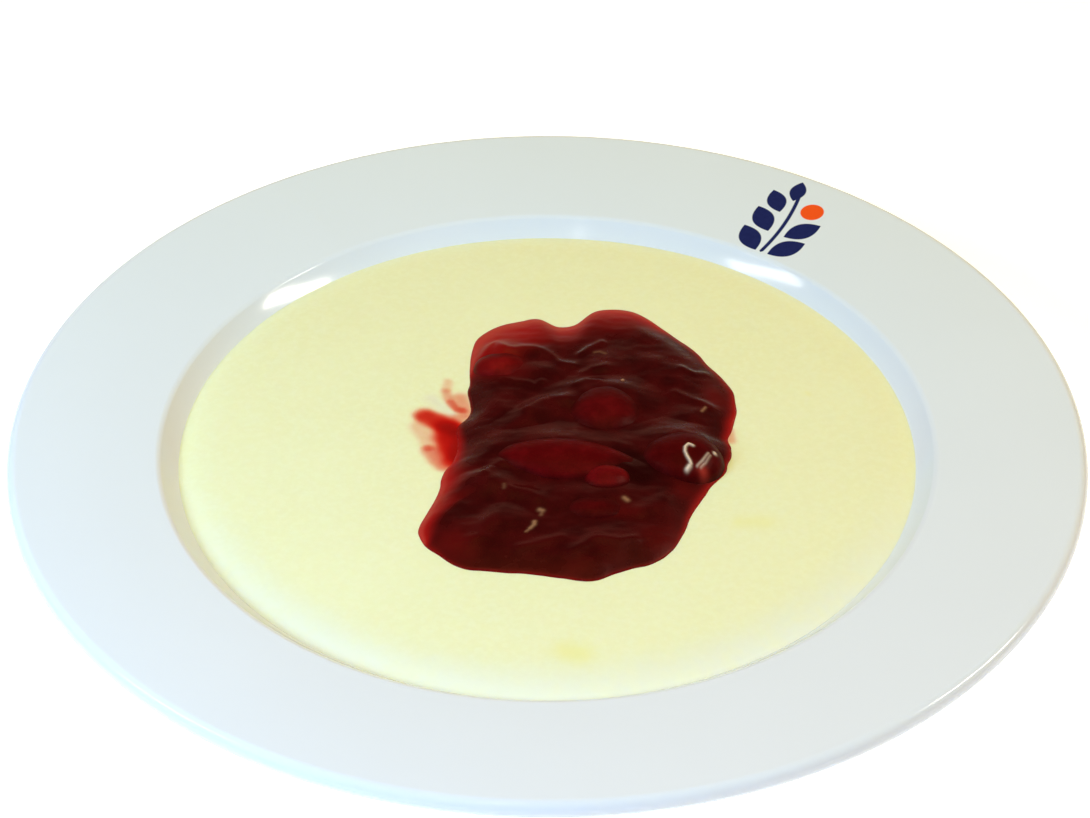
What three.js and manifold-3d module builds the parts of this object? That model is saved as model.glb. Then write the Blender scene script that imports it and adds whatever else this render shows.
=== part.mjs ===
// Semolina pudding under a red fruit sauce, served in a rimmed porcelain soup plate.
// Millimetres, +Z up. The origin is on the table, at the middle of the plate's foot ring.
// +X is the diner's right and +Y points away from the diner.

import * as THREE from "three";
import { mergeVertices } from "three/addons/utils/BufferGeometryUtils.js";
import Module from "manifold-3d";

// Plate: radii from the axis and heights above the table, to the sharp corners before they are rounded.
const PLATE_RADIUS = 120;
const RIM_HEIGHT = 36;
const RIM_THICKNESS = 4;
const RIM_ROUND = 1.9;
const SHOULDER_RADIUS = 87.5;
const SHOULDER_HEIGHT = 30.1;
const SHOULDER_ROUND = 2.5;
const WALL_LEAN = THREE.MathUtils.degToRad(44);
const WALL_THICKNESS = 4.4;
const UNDER_RIM_ROUND = 6;
const FLOOR_HEIGHT = 7;
const FLOOR_ROUND = 16;
const FOOT_RADIUS = 56;
const FOOT_WIDTH = 4;
const FOOT_DEPTH = 2.4;
const FOOT_LEAN = 0.8;
const FOOT_ROUND = 0.6;

// Pudding: it fills the well to a level below the shoulder and rolls down to the wall.
const PUDDING_EDGE = 25.9;
const PUDDING_RISE = 1.3;
const PUDDING_TOP = PUDDING_EDGE + PUDDING_RISE;
const PUDDING_ROLL = 10;
const ROLL_RINGS = 5;
const LEVEL_RINGS = 5;

// Sauce: a pool that rises from its edge in a dome, and whose weight presses a shallow sag into the pudding.
const SAUCE_X = 6.8;
const SAUCE_Y = -4.5;
const SAUCE_HEIGHT = 1.6;
const SAUCE_LIP = 11;
const SAUCE_FRONT_LIP = 7.5;
const SAG_DEPTH = 2;
const SAG_HALF_WIDTH = 30;
const SAG_HALF_LENGTH = 40;
const SAUCE_TOP_RINGS = 14;
const SAUCE_UNDER_RINGS = 4;

// How far the sauce reaches from its middle, every 10 degrees anticlockwise from +X.
const SAUCE_REACH = [
  34.9, 35.9, 39.6, 42.3, 43.8, 46.1, 48.8, 53.1, 55.2, 48.1, 51.2, 50.8,
  47.7, 39.2, 33.4, 29.0, 26.9, 26.6, 28.4, 30.4, 32.4, 36.2, 45.3, 47.5,
  47.6, 44.8, 43.6, 44.6, 43.2, 42.5, 40.2, 36.2, 33.3, 32.5, 33.2, 34.3,
];

// Swells of the sauce over lumps below it. Turns are in degrees, from +X to the long side.
const SWELLS = [
  { x: -2, y: 22, length: 12, width: 8, rise: 0.8, turn: -15 },
  { x: 13, y: 24, length: 14, width: 10, rise: 1.0, turn: 25 },
  { x: 27, y: 22, length: 16, width: 10, rise: 0.8, turn: -45 },
  { x: 34, y: 4, length: 10, width: 8, rise: 0.8, turn: -5 },
  { x: -4, y: 4, length: 16, width: 7, rise: 1.2, turn: 35 },
  { x: -10, y: -24, length: 10, width: 9, rise: 1.2, turn: -20 },
  { x: 14, y: -38, length: 16, width: 8, rise: 0.6, turn: 10 },
  { x: -14, y: -36, length: 12, width: 8, rise: 0.4, turn: 10 },
];

// Fruit that shows above the sauce: each rises over the pudding's level and tapers towards its ends.
const FRUIT_SINK = 0.6;
const FRUITS = [
  { name: "fruit_middle", x: 3.6, y: -11.2, length: 34.5, width: 15.5, rise: 5, turn: -7, taper: 0.05 },
  { name: "fruit_middle_tip", x: 13.2, y: -18, length: 12.5, width: 10, rise: 4.3, turn: 9, taper: 0.1 },
  { name: "fruit_right", x: 30.4, y: -9.8, length: 19, width: 16.5, rise: 5.4, turn: -8, taper: 0.1 },
  { name: "fruit_back", x: 13.3, y: 6.8, length: 21, width: 17, rise: 4.3, turn: -2, taper: 0.4 },
  { name: "fruit_back_left", x: -10.8, y: 23.2, length: 13.6, width: 11, rise: 3.4, turn: 6, taper: 0 },
  { name: "fruit_front", x: 10.5, y: -27.5, length: 17, width: 9.5, rise: 3.1, turn: 0, taper: 0.2 },
];

// How the sauce climbs the far side of a fruit: its height as a share of the fruit's rise, how far it runs
// out, where it starts as a share of the fruit's outline, and how sharply it fades towards the near side.
const CLIMB_SHARE = 0.42;
const CLIMB_WIDTH = 5.5;
const CLIMB_START = 0.65;
const CLIMB_FADE = 1.5;

// Clearance between neighbouring pieces, and how finely round shapes are divided.
const GAP = 0.3;
const TURN_STEPS = 64;
const ARC_TOLERANCE = 0.12;
const FRUIT_AROUND = 16;
const FRUIT_STACKS = 11;
const WELD = 1e-4;

const porcelain = new THREE.MeshStandardMaterial({ color: 0xe4eef2, roughness: 0.12, metalness: 0 });
const semolina = new THREE.MeshStandardMaterial({ color: 0xeeefc2, roughness: 0.45, metalness: 0 });
const sauceRed = new THREE.MeshStandardMaterial({ color: 0x4a0f10, roughness: 0.2, metalness: 0 });
const fruitRed = new THREE.MeshStandardMaterial({ color: 0x7a1214, roughness: 0.22, metalness: 0 });

const wasm = await Module();
wasm.setup();

// Radius of the well's wall at a height, on a face that lies offset outside its inner one.
function wallRadius(height, offset) {
  return SHOULDER_RADIUS - (SHOULDER_HEIGHT - height) * Math.tan(WALL_LEAN) + offset / Math.cos(WALL_LEAN);
}

// Turns a chain of [radius, height, round] corners into points, with an arc at each rounded corner.
function roundedChain(corners) {
  const points = [];
  corners.forEach(([radius, height, round], i) => {
    const corner = new THREE.Vector2(radius, height);
    if (!round) {
      points.push(corner);
      return;
    }
    const back = new THREE.Vector2(...corners[i - 1]).sub(corner).normalize();
    const on = new THREE.Vector2(...corners[i + 1]).sub(corner).normalize();
    const half = back.angleTo(on) / 2;
    const centre = back.clone().add(on).setLength(round / Math.sin(half)).add(corner);
    const start = back.clone().multiplyScalar(round / Math.tan(half)).add(corner);
    const turn = (Math.PI - 2 * half) * -Math.sign(back.cross(on));
    const stride = 2 * Math.acos(1 - ARC_TOLERANCE / round);
    const steps = Math.ceil(Math.abs(turn) / stride);
    for (let k = 0; k <= steps; k++) {
      points.push(start.clone().rotateAround(centre, (turn * k) / steps));
    }
  });
  return points;
}

// Spins a chain of points round the Z axis.
function spun(points) {
  return new THREE.LatheGeometry(points, TURN_STEPS).rotateX(Math.PI / 2);
}

// Hands each vertex, with its number, to a function that moves it.
function reshape(geometry, move) {
  const places = geometry.getAttribute("position");
  const vertex = new THREE.Vector3();
  for (let i = 0; i < places.count; i++) {
    vertex.fromBufferAttribute(places, i);
    move(vertex, i);
    places.setXYZ(i, vertex.x, vertex.y, vertex.z);
  }
  geometry.computeVertexNormals();
  return geometry;
}

// A closed geometry as a solid for cutting. Triangles that shrink to a line at a pole are dropped.
function solidOf(geometry) {
  const bare = geometry.clone();
  bare.deleteAttribute("normal");
  bare.deleteAttribute("uv");
  const merged = mergeVertices(bare, WELD);
  const corners = merged.index.array;
  const kept = [];
  for (let i = 0; i < corners.length; i += 3) {
    const [a, b, c] = corners.slice(i, i + 3);
    if (a !== b && b !== c && c !== a) kept.push(a, b, c);
  }
  const vertProperties = merged.getAttribute("position").array;
  const triVerts = new Uint32Array(kept);
  return new wasm.Manifold(new wasm.Mesh({ numProp: 3, vertProperties, triVerts }));
}

// A solid as a geometry again.
function geometryOf(solid) {
  const { vertProperties, triVerts } = solid.getMesh();
  const geometry = new THREE.BufferGeometry();
  geometry.setAttribute("position", new THREE.BufferAttribute(vertProperties, 3));
  geometry.setIndex(new THREE.BufferAttribute(triVerts, 1));
  geometry.computeVertexNormals();
  return geometry;
}

// A named mesh.
function piece(name, geometry, material) {
  const mesh = new THREE.Mesh(geometry, material);
  mesh.name = name;
  return mesh;
}

// The plate, spun from one section: underside, foot ring, outer wall, rim, shoulder, inner wall and floor.
function plateGeometry() {
  const underRim = SHOULDER_HEIGHT - RIM_THICKNESS;
  const underFloor = FLOOR_HEIGHT - WALL_THICKNESS;
  const footInside = FOOT_RADIUS - FOOT_WIDTH;
  const section = [
    [0, FOOT_DEPTH],
    [footInside - FOOT_LEAN, FOOT_DEPTH, FOOT_ROUND],
    [footInside, 0, FOOT_ROUND],
    [FOOT_RADIUS, 0, FOOT_ROUND],
    [FOOT_RADIUS + FOOT_LEAN, underFloor, FOOT_ROUND],
    [wallRadius(underFloor, WALL_THICKNESS), underFloor, FLOOR_ROUND + WALL_THICKNESS],
    [wallRadius(underRim, WALL_THICKNESS), underRim, UNDER_RIM_ROUND],
    [PLATE_RADIUS, RIM_HEIGHT - RIM_THICKNESS, RIM_ROUND],
    [PLATE_RADIUS, RIM_HEIGHT, RIM_ROUND],
    [SHOULDER_RADIUS, SHOULDER_HEIGHT, SHOULDER_ROUND],
    [wallRadius(FLOOR_HEIGHT, 0), FLOOR_HEIGHT, FLOOR_ROUND],
    [0, FLOOR_HEIGHT],
  ];
  return spun(roundedChain(section));
}

// Height of the pudding's surface: level, sagging under the sauce and rolling down at the wall.
function puddingSurface(x, y) {
  const fromWall = wallRadius(PUDDING_EDGE, -GAP) - Math.hypot(x, y);
  const roll = THREE.MathUtils.clamp(1 - fromWall / PUDDING_ROLL, 0, 1);
  const across = (x - SAUCE_X) / SAG_HALF_WIDTH;
  const along = (y - SAUCE_Y) / SAG_HALF_LENGTH;
  const sag = SAG_DEPTH * Math.exp(-across * across - along * along);
  return PUDDING_EDGE + PUDDING_RISE * Math.sqrt(1 - roll * roll) - sag;
}

// The pudding fills the well, a hair clear of the porcelain.
function puddingGeometry() {
  const floor = FLOOR_HEIGHT + GAP;
  const edge = wallRadius(PUDDING_EDGE, -GAP);
  const under = roundedChain([
    [0, floor],
    [wallRadius(floor, -GAP), floor, FLOOR_ROUND - GAP],
    [edge, PUDDING_EDGE],
  ]);
  const top = [];
  for (let k = 1; k <= ROLL_RINGS; k++) {
    const inward = 1 - Math.cos((k / ROLL_RINGS) * (Math.PI / 2));
    top.push(new THREE.Vector2(edge - PUDDING_ROLL * inward, PUDDING_TOP));
  }
  for (let k = 1; k <= LEVEL_RINGS; k++) {
    top.push(new THREE.Vector2((edge - PUDDING_ROLL) * (1 - k / LEVEL_RINGS), PUDDING_TOP));
  }
  const chain = [...under, ...top];
  return reshape(spun(chain), (vertex, i) => {
    const onTop = i % chain.length >= under.length;
    if (onTop) vertex.z = puddingSurface(vertex.x, vertex.y);
  });
}

// The sauce's reach at an angle: a smooth closed curve through the listed reaches.
function sauceReach(angle) {
  const count = SAUCE_REACH.length;
  const place = THREE.MathUtils.euclideanModulo(angle / (2 * Math.PI), 1) * count;
  const from = Math.floor(place);
  const at = (k) => SAUCE_REACH[(from + k + count) % count];
  const t = place - from;
  const rise = at(1) - at(0);
  const slopeIn = (at(1) - at(-1)) / 2;
  const slopeOut = (at(2) - at(0)) / 2;
  const bend = 3 * rise - 2 * slopeIn - slopeOut;
  const twist = slopeIn + slopeOut - 2 * rise;
  return at(0) + t * (slopeIn + t * (bend + t * twist));
}

// How far a point is from the middle of a lump, as a share of the lump's oval outline.
function shareOf(lump, x, y) {
  const turn = THREE.MathUtils.degToRad(lump.turn);
  const away = new THREE.Vector2(x - lump.x, y - lump.y).rotateAround(new THREE.Vector2(), -turn);
  return Math.hypot((2 * away.x) / lump.length, (2 * away.y) / lump.width);
}

// Extra height of the sauce where it swells over a lump or climbs the far side of a fruit.
function sauceRelief(x, y) {
  const swells = SWELLS.map((swell) => swell.rise * Math.exp(-(shareOf(swell, x, y) ** 2)));
  const climbs = FRUITS.map((fruit) => {
    const away = Math.max(0, shareOf(fruit, x, y) - CLIMB_START) * (fruit.width / 2);
    const behind = (1 + Math.sin(Math.atan2(y - fruit.y, x - fruit.x))) / 2;
    return CLIMB_SHARE * fruit.rise * behind ** CLIMB_FADE * Math.exp(-((away / CLIMB_WIDTH) ** 2));
  });
  return Math.max(...swells, ...climbs);
}

// The pool of sauce: a unit lens drawn out to the sauce's reach and laid on the sagging pudding.
function saucePool() {
  const lens = [];
  for (let k = 0; k < SAUCE_UNDER_RINGS; k++) {
    lens.push(new THREE.Vector2(k / SAUCE_UNDER_RINGS, 0));
  }
  for (let k = 0; k <= SAUCE_TOP_RINGS; k++) {
    lens.push(new THREE.Vector2(Math.cos((k / SAUCE_TOP_RINGS) * (Math.PI / 2)), k ? 1 : 0));
  }
  return reshape(spun(lens), (vertex) => {
    const onTop = vertex.z;
    const share = Math.min(1, Math.hypot(vertex.x, vertex.y));
    const angle = Math.atan2(vertex.y, vertex.x);
    const reach = sauceReach(angle);
    const lip = THREE.MathUtils.lerp(SAUCE_LIP, SAUCE_FRONT_LIP, Math.max(0, -Math.sin(angle)));
    vertex.x = SAUCE_X + vertex.x * reach;
    vertex.y = SAUCE_Y + vertex.y * reach;
    const floor = puddingSurface(vertex.x, vertex.y);
    const depth = PUDDING_TOP - floor + SAUCE_HEIGHT + sauceRelief(vertex.x, vertex.y);
    const inward = Math.min(1, ((1 - share) * reach) / lip);
    vertex.z = floor + GAP + onTop * depth * inward * (2 - inward);
  });
}

// One fruit, grown by a margin: an oval body that narrows towards both ends.
function fruitBody(fruit, margin) {
  const ball = new THREE.SphereGeometry(1, FRUIT_AROUND, FRUIT_STACKS).rotateX(Math.PI / 2);
  const turn = THREE.MathUtils.degToRad(fruit.turn);
  return reshape(ball, (vertex) => {
    const narrowing = 1 - fruit.taper * vertex.x * vertex.x;
    vertex.x *= fruit.length / 2 + margin;
    vertex.y *= (fruit.width / 2 + margin) * narrowing;
    vertex.z *= (fruit.rise + FRUIT_SINK + margin) * narrowing;
    vertex.applyAxisAngle(new THREE.Vector3(0, 0, 1), turn);
    vertex.add(new THREE.Vector3(fruit.x, fruit.y, PUDDING_TOP - FRUIT_SINK));
  });
}

// The fruit as it lies, its underside resting along the pudding and its side cut clear of earlier fruit.
function fruitGeometry(fruit, earlier) {
  const whole = reshape(fruitBody(fruit, 0), (vertex) => {
    vertex.z = Math.max(vertex.z, puddingSurface(vertex.x, vertex.y) + GAP);
  });
  const neighbours = earlier.map((other) => solidOf(fruitBody(other, GAP)));
  return geometryOf(neighbours.reduce((solid, other) => solid.subtract(other), solidOf(whole)));
}

// The pool with a place left for each fruit.
function sauceGeometry() {
  const places = FRUITS.map((fruit) => solidOf(fruitBody(fruit, GAP)));
  return geometryOf(places.reduce((pool, place) => pool.subtract(place), solidOf(saucePool())));
}

const dessert = new THREE.Group();
dessert.add(piece("plate", plateGeometry(), porcelain));
dessert.add(piece("pudding", puddingGeometry(), semolina));
dessert.add(piece("fruit_sauce", sauceGeometry(), sauceRed));
FRUITS.forEach((fruit, i) => {
  dessert.add(piece(fruit.name, fruitGeometry(fruit, FRUITS.slice(0, i)), fruitRed));
});

export default dessert;
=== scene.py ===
# %% [markdown]
# # Semolina pudding with a dark red fruit sauce, in its soup plate
# The dessert is four materials in one another's arms: a glazed plate, a set milk pudding that fills its
# well, a spoonful of sticky sauce on top, and pieces of stewed fruit that stand out of the sauce.
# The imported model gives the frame. Every piece below is modelled where its solid lies, and then stands
# for it.

# %% Load the frame
import math

import bmesh
import bpy
import numpy as np
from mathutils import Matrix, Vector, noise


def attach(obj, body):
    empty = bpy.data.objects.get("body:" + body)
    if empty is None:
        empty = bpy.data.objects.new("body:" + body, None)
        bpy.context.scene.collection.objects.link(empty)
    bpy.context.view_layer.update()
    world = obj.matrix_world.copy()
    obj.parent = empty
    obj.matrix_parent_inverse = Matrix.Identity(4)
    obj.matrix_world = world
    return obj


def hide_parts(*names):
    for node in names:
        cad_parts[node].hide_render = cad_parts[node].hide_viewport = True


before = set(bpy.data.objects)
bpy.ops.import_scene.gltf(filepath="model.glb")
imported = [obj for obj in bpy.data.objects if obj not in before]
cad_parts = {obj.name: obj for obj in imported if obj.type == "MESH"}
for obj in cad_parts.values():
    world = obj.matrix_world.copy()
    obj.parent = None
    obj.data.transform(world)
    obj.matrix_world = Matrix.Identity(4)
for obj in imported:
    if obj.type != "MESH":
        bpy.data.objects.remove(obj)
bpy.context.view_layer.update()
MM = 0.001

# %% [markdown]
# ## Camera
# The plate was seen from the diner's seat with a longish lens, a little under half a metre away. Its rim,
# shoulder and pudding show as three ellipses, and their sizes fix the height and the distance of the eye.
# The camera is aimed close to the middle of the rim's plane, so no lens shift is needed.

# %% Camera: the diner's eye
PICTURE_WIDTH = 1090
FOCAL_PIXELS = 2167.5
EYE_HEIGHT = math.radians(37.73)
EYE_DISTANCE = 490
RIM_PLANE = 34.0
AIM = Vector((-0.49, 0.22, 34.29))

eye = Vector((0, -EYE_DISTANCE * math.cos(EYE_HEIGHT), RIM_PLANE + EYE_DISTANCE * math.sin(EYE_HEIGHT)))
bpy.ops.object.camera_add(location=eye * MM)
camera = bpy.context.object
camera.name = "diners_eye"
camera.rotation_euler = (AIM - eye).to_track_quat("-Z", "Y").to_euler()
camera.data.lens = FOCAL_PIXELS / PICTURE_WIDTH * camera.data.sensor_width
camera.data.clip_start = MM
bpy.context.scene.camera = camera
bpy.context.scene.view_settings.view_transform = "Standard"
print("camera:", round(camera.data.lens, 2), "mm lens")

# %% [markdown]
# ## Shader arithmetic
# A material is a graph of nodes, and its sums are easier to read as Python. This small class wraps one
# socket: an expression such as `1 - mask * 0.5` adds the Math nodes, and `node` adds any other kind.

# %% A socket that can be reckoned with
class Socket:
    """An output socket of a node tree that takes part in Python arithmetic."""

    def __init__(self, tree, output=None):
        self.tree = tree
        self.output = output

    def node(self, kind, settings=None, sockets=None, output=0):
        """Add a node: its settings first, then the values or links of its sockets."""
        made = self.tree.nodes.new("ShaderNode" + kind)
        for name, value in (settings or {}).items():
            setattr(made, name, value)
        self.feed(made, sockets or {})
        return Socket(self.tree, made.outputs[output])

    def feed(self, node, sockets):
        """Set the sockets of a node to values, or link them to other sockets."""
        for name, value in sockets.items():
            if isinstance(value, Socket):
                self.tree.links.new(value.output, node.inputs[name])
            else:
                node.inputs[name].default_value = value

    def math(self, operation, *values):
        return self.node("Math", {"operation": operation}, dict(enumerate(values)))

    def __add__(self, other):
        return self.math("ADD", self, other)

    def __sub__(self, other):
        return self.math("SUBTRACT", self, other)

    def __rsub__(self, other):
        return self.math("SUBTRACT", other, self)

    def __mul__(self, other):
        return self.math("MULTIPLY", self, other)

    __radd__ = __add__
    __rmul__ = __mul__

    def __truediv__(self, other):
        return self.math("DIVIDE", self, other)

    def __abs__(self):
        return self.math("ABSOLUTE", self)

    def root(self):
        return self.math("SQRT", self)

    def larger(self, other):
        return self.math("MAXIMUM", self, other)

    def smaller(self, other):
        return self.math("MINIMUM", self, other)

    def exp(self):
        return self.math("EXPONENT", self)

    def between(self, low, high):
        """A soft step: 0 at low, 1 at high."""
        edges = {"Value": self, "From Min": low, "From Max": high}
        return self.node("MapRange", {"interpolation_type": "SMOOTHSTEP"}, edges)

    def mix(self, first, second):
        """The first colour where this is 0, the second where it is 1."""
        return self.node("Mix", {"data_type": "RGBA"}, {0: self, 6: first, 7: second}, 2)

    def tinted(self, tint):
        """This colour multiplied by another one."""
        blend = {"data_type": "RGBA", "blend_type": "MULTIPLY"}
        return self.node("Mix", blend, {0: 1.0, 6: self, 7: tint}, 2)

    def grain(self, size, detail=2.0):
        """Noise with features of about this size, in millimetres, read from this place vector."""
        return self.node("TexNoise", None, {"Vector": self, "Scale": 1 / (size * MM), "Detail": detail})

    def stored(self, name, kind="Fac"):
        """What the vertices of a piece remember under a name: a number, or a Color."""
        return self.node("Attribute", {"attribute_name": name}, output=kind)

    def bump(self, strength, depth):
        """The normals of a surface that this number raises, by up to a depth in millimetres."""
        return self.node("Bump", None, {"Strength": strength, "Distance": depth * MM, "Height": self})

    def axes(self, unit=MM):
        """The three parts of this vector, counted in a unit."""
        apart = self.node("SeparateXYZ", None, {0: self}).output.node
        return [Socket(self.tree, part) * (1 / unit) for part in apart.outputs]


def new_finish(name):
    """A material, and the Object coordinates that its patterns read."""
    finish = bpy.data.materials.new(name)
    finish.use_nodes = True
    return finish, Socket(finish.node_tree).node("TexCoord", output="Object")


def set_shader(finish, sockets):
    """Set or link the sockets of a material's shader."""
    Socket(finish.node_tree).feed(finish.node_tree.nodes["Principled BSDF"], sockets)


def colour(red, green, blue):
    return (red, green, blue, 1)


# %% [markdown]
# ## Studio
# The dessert stands on a plain white table under soft light: a broad warm panel overhead, a blue window low
# at the left, and two lamps at the right. Three panes show in reflections alone, as slim highlights.
# The rest of the room is dim except for a bright band low at the far side, which glances off every slope
# that leans away from the eye: the front of the rim and the far sides of the sauce.

# %% Table
TABLE_SIZE = 8.0
TABLE_GLOW = 0.5

bpy.ops.object.select_all(action="DESELECT")
bpy.ops.mesh.primitive_plane_add(size=TABLE_SIZE)
table = bpy.context.object
table.name = "table"
white, place = new_finish("table_white")
paper = place.grain(300).mix(colour(0.93, 0.93, 0.93), colour(0.96, 0.96, 0.96))
set_shader(white, {
    "Base Color": paper, "Roughness": 0.8,
    "Emission Color": colour(1, 1, 1), "Emission Strength": TABLE_GLOW,
})
table.data.materials.append(white)
print("table:", TABLE_SIZE, "m square")

# %% Lights
LIGHT_AIM = Vector((0, 0, 0.03))


def soft_panel(name, place, size, watts, tint):
    """A square panel of light that faces the dessert and shows in no reflection."""
    bpy.ops.object.light_add(type="AREA", location=place)
    panel = bpy.context.object
    panel.name = name
    panel.rotation_euler = (LIGHT_AIM - Vector(place)).to_track_quat("-Z", "Y").to_euler()
    panel.data.size = size
    panel.data.energy = watts
    panel.data.color = tint
    panel.visible_glossy = False
    return panel


def glint_panel(name, place, wide, high, roll, watts, tint):
    """A panel that shows in reflections alone, as a window does in a glaze, rolled by some degrees."""
    pane = soft_panel(name, place, wide, watts, tint)
    pane.rotation_euler.rotate_axis("Z", math.radians(roll))
    pane.data.shape = "RECTANGLE"
    pane.data.size_y = high
    pane.visible_glossy = True
    pane.visible_diffuse = False


soft_panel("window_front", (0.28, -0.26, 0.46), 0.2, 0.66, (0.45, 0.34, 0.86))
soft_panel("window_left", (-0.30, -0.22, 0.28), 0.2, 2.06, (0.265, 0.53, 1.0))
soft_panel("ceiling", (0.05, 0.0, 1.3), 1.2, 11.4, (0.95, 0.79, 0.14))
soft_panel("lamp_right", (0.55, -0.2, 1.1), 0.6, 5.7, (0.51, 0.67, 0.76))
glint_panel("pane_right", (0.646, 0.057, 0.585), 0.075, 0.25, 30, 2.2, (1.0, 0.92, 0.82))
glint_panel("pane_left", (-0.61, -0.087, 0.621), 0.09, 0.28, -37, 0.8, (1.0, 0.96, 0.92))
glint_panel("tube_above", (-0.11, -0.45, 1.03), 0.025, 0.5, 0, 0.25, (1.0, 0.96, 0.9))

# %% The room beyond
ROOM_DIM = 0.02
FAR_GLOW = (0.46, 0.20, 0.14)
FAR_SIDE = (-0.1, 0.5)
LOW_BAND = (0.8, 0.2)

room = bpy.data.worlds.new("room")
bpy.context.scene.world = room
room.use_nodes = True
sky = Socket(room.node_tree).node("TexCoord", output="Generated")
_, far, high = sky.axes(1)
glow = far.between(*FAR_SIDE) * high.between(*LOW_BAND)
view = glow.mix(colour(ROOM_DIM, ROOM_DIM, ROOM_DIM), colour(*FAR_GLOW))
sky.feed(room.node_tree.nodes["Background"], {"Color": view})
print("room: dim", ROOM_DIM, "far side", FAR_GLOW)

# %% [markdown]
# ## Plate
# A deep plate is turned: a foot ring, a wall that leans out to a rounded shoulder, and a broad rim that
# climbs a little to its rolled edge. It could be spun from a curve. Here a disc is drawn out ring by ring,
# as clay is on a wheel, and every corner is then bevelled to its round, so each radius stays a number.

# %% Plate: sizes in millimetres, to the corners before they are rounded
PLATE_RADIUS = 120
RIM_HEIGHT = 35.96
RIM_THICKNESS = 4.0
SHOULDER_RADIUS = 87.5
SHOULDER_HEIGHT = 30.1
WALL_LEAN = math.radians(44)
WALL_THICKNESS = 4.4
FLOOR_HEIGHT = 7
FOOT_RADIUS = 56
FOOT_WIDTH = 4
FOOT_DEPTH = 2.4
FOOT_LEAN = 0.8
FOOT_ROUND = 0.6
EDGE_ROUND = 1.9


def wall_radius(height, outward=0.0):
    """Radius of the well's wall at a height, on a face that lies outward of the inner one."""
    inner = SHOULDER_RADIUS - (SHOULDER_HEIGHT - height) * math.tan(WALL_LEAN)
    return inner + outward / math.cos(WALL_LEAN)


under_floor = FLOOR_HEIGHT - WALL_THICKNESS
under_rim = SHOULDER_HEIGHT - RIM_THICKNESS
foot_inside = FOOT_RADIUS - FOOT_WIDTH
PLATE_RINGS = [  # radius, height, round
    (foot_inside - FOOT_LEAN, FOOT_DEPTH, FOOT_ROUND),
    (foot_inside, 0, FOOT_ROUND),
    (FOOT_RADIUS, 0, FOOT_ROUND),
    (FOOT_RADIUS + FOOT_LEAN, under_floor, FOOT_ROUND),
    (wall_radius(under_floor, WALL_THICKNESS), under_floor, 20.4),
    (wall_radius(under_rim, WALL_THICKNESS), under_rim, 6),
    (PLATE_RADIUS, RIM_HEIGHT - RIM_THICKNESS, EDGE_ROUND),
    (PLATE_RADIUS, RIM_HEIGHT, EDGE_ROUND),
    (SHOULDER_RADIUS, SHOULDER_HEIGHT, 2.5),
    (wall_radius(FLOOR_HEIGHT), FLOOR_HEIGHT, 16),
]
print("plate:", len(PLATE_RINGS), "rings, well", round(2 * wall_radius(SHOULDER_HEIGHT)), "mm across")

# %% Tools for turned pieces
NEAR = 0.01


def begin(name, add, **sizes):
    """Add a primitive with nothing else selected, name it and go into edit mode."""
    bpy.ops.object.select_all(action="DESELECT")
    add(**sizes)
    piece = bpy.context.object
    piece.name = piece.data.name = name
    bpy.ops.object.mode_set(mode="EDIT")
    return piece


def select_ring(piece, radius, height):
    """Select the ring of edges at a radius and height, in millimetres."""
    bpy.ops.mesh.select_mode(type="EDGE")
    bpy.ops.mesh.select_all(action="DESELECT")
    mesh = bmesh.from_edit_mesh(piece.data)
    for edge in mesh.edges:
        ends = [end.co / MM for end in edge.verts]
        if all(abs(end.xy.length - radius) < NEAR and abs(end.z - height) < NEAR for end in ends):
            edge.select_set(True)
    bmesh.update_edit_mesh(piece.data)


def pull_ring(share, rise):
    """Extrude the selected ring, lift it by rise and draw it in or out to a share of its radius."""
    bpy.ops.mesh.extrude_edges_move(TRANSFORM_OT_translate={"value": (0, 0, rise * MM)})
    bpy.ops.transform.resize(value=(share, share, 1), center_override=(0, 0, 0))


def finish_turning(piece):
    """Turn every face outwards, leave edit mode and smooth the shading."""
    bpy.ops.mesh.select_all(action="SELECT")
    bpy.ops.mesh.normals_make_consistent(inside=False)
    bpy.ops.object.mode_set(mode="OBJECT")
    bpy.ops.object.shade_smooth()
    print(piece.name + ":", len(piece.data.polygons), "faces")


# %% Plate: draw out the rings
AROUND = 192
TINY = 1e-3

radius, height, _ = PLATE_RINGS[0]
plate = begin(
    "soup_plate", bpy.ops.mesh.primitive_circle_add, vertices=AROUND, radius=radius * MM,
    location=(0, 0, height * MM), fill_type="TRIFAN",
)
bpy.ops.object.mode_set(mode="OBJECT")
bpy.ops.object.transform_apply(location=True, rotation=True, scale=True)
bpy.ops.object.mode_set(mode="EDIT")
select_ring(plate, radius, height)
for next_radius, next_height, _ in PLATE_RINGS[1:]:
    pull_ring(next_radius / radius, next_height - height)
    radius, height = next_radius, next_height
pull_ring(TINY, 0)
bpy.ops.mesh.merge(type="CENTER")
print("plate drawn out to", radius, height)

# %% Plate: round every corner
ARC_STEPS = 8


def tangent_length(before, corner, after, round_radius):
    """How far from a corner its rounding starts."""
    back = Vector(before[:2]) - Vector(corner[:2])
    on = Vector(after[:2]) - Vector(corner[:2])
    return round_radius / math.tan(back.angle(on) / 2)


corners = [(0, FOOT_DEPTH)] + PLATE_RINGS + [(0, FLOOR_HEIGHT)]
for before, corner, after in zip(corners, corners[1:], corners[2:]):
    select_ring(plate, corner[0], corner[1])
    bpy.ops.mesh.bevel(
        offset_type="OFFSET", offset=tangent_length(before, corner, after, corner[2]) * MM,
        segments=ARC_STEPS, profile=0.5, affect="EDGES",
    )
finish_turning(plate)
weighted = plate.modifiers.new("even_glaze", "WEIGHTED_NORMAL")
weighted.keep_sharp = True
bpy.ops.object.modifier_apply(modifier=weighted.name)
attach(plate, "root")
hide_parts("plate")

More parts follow.
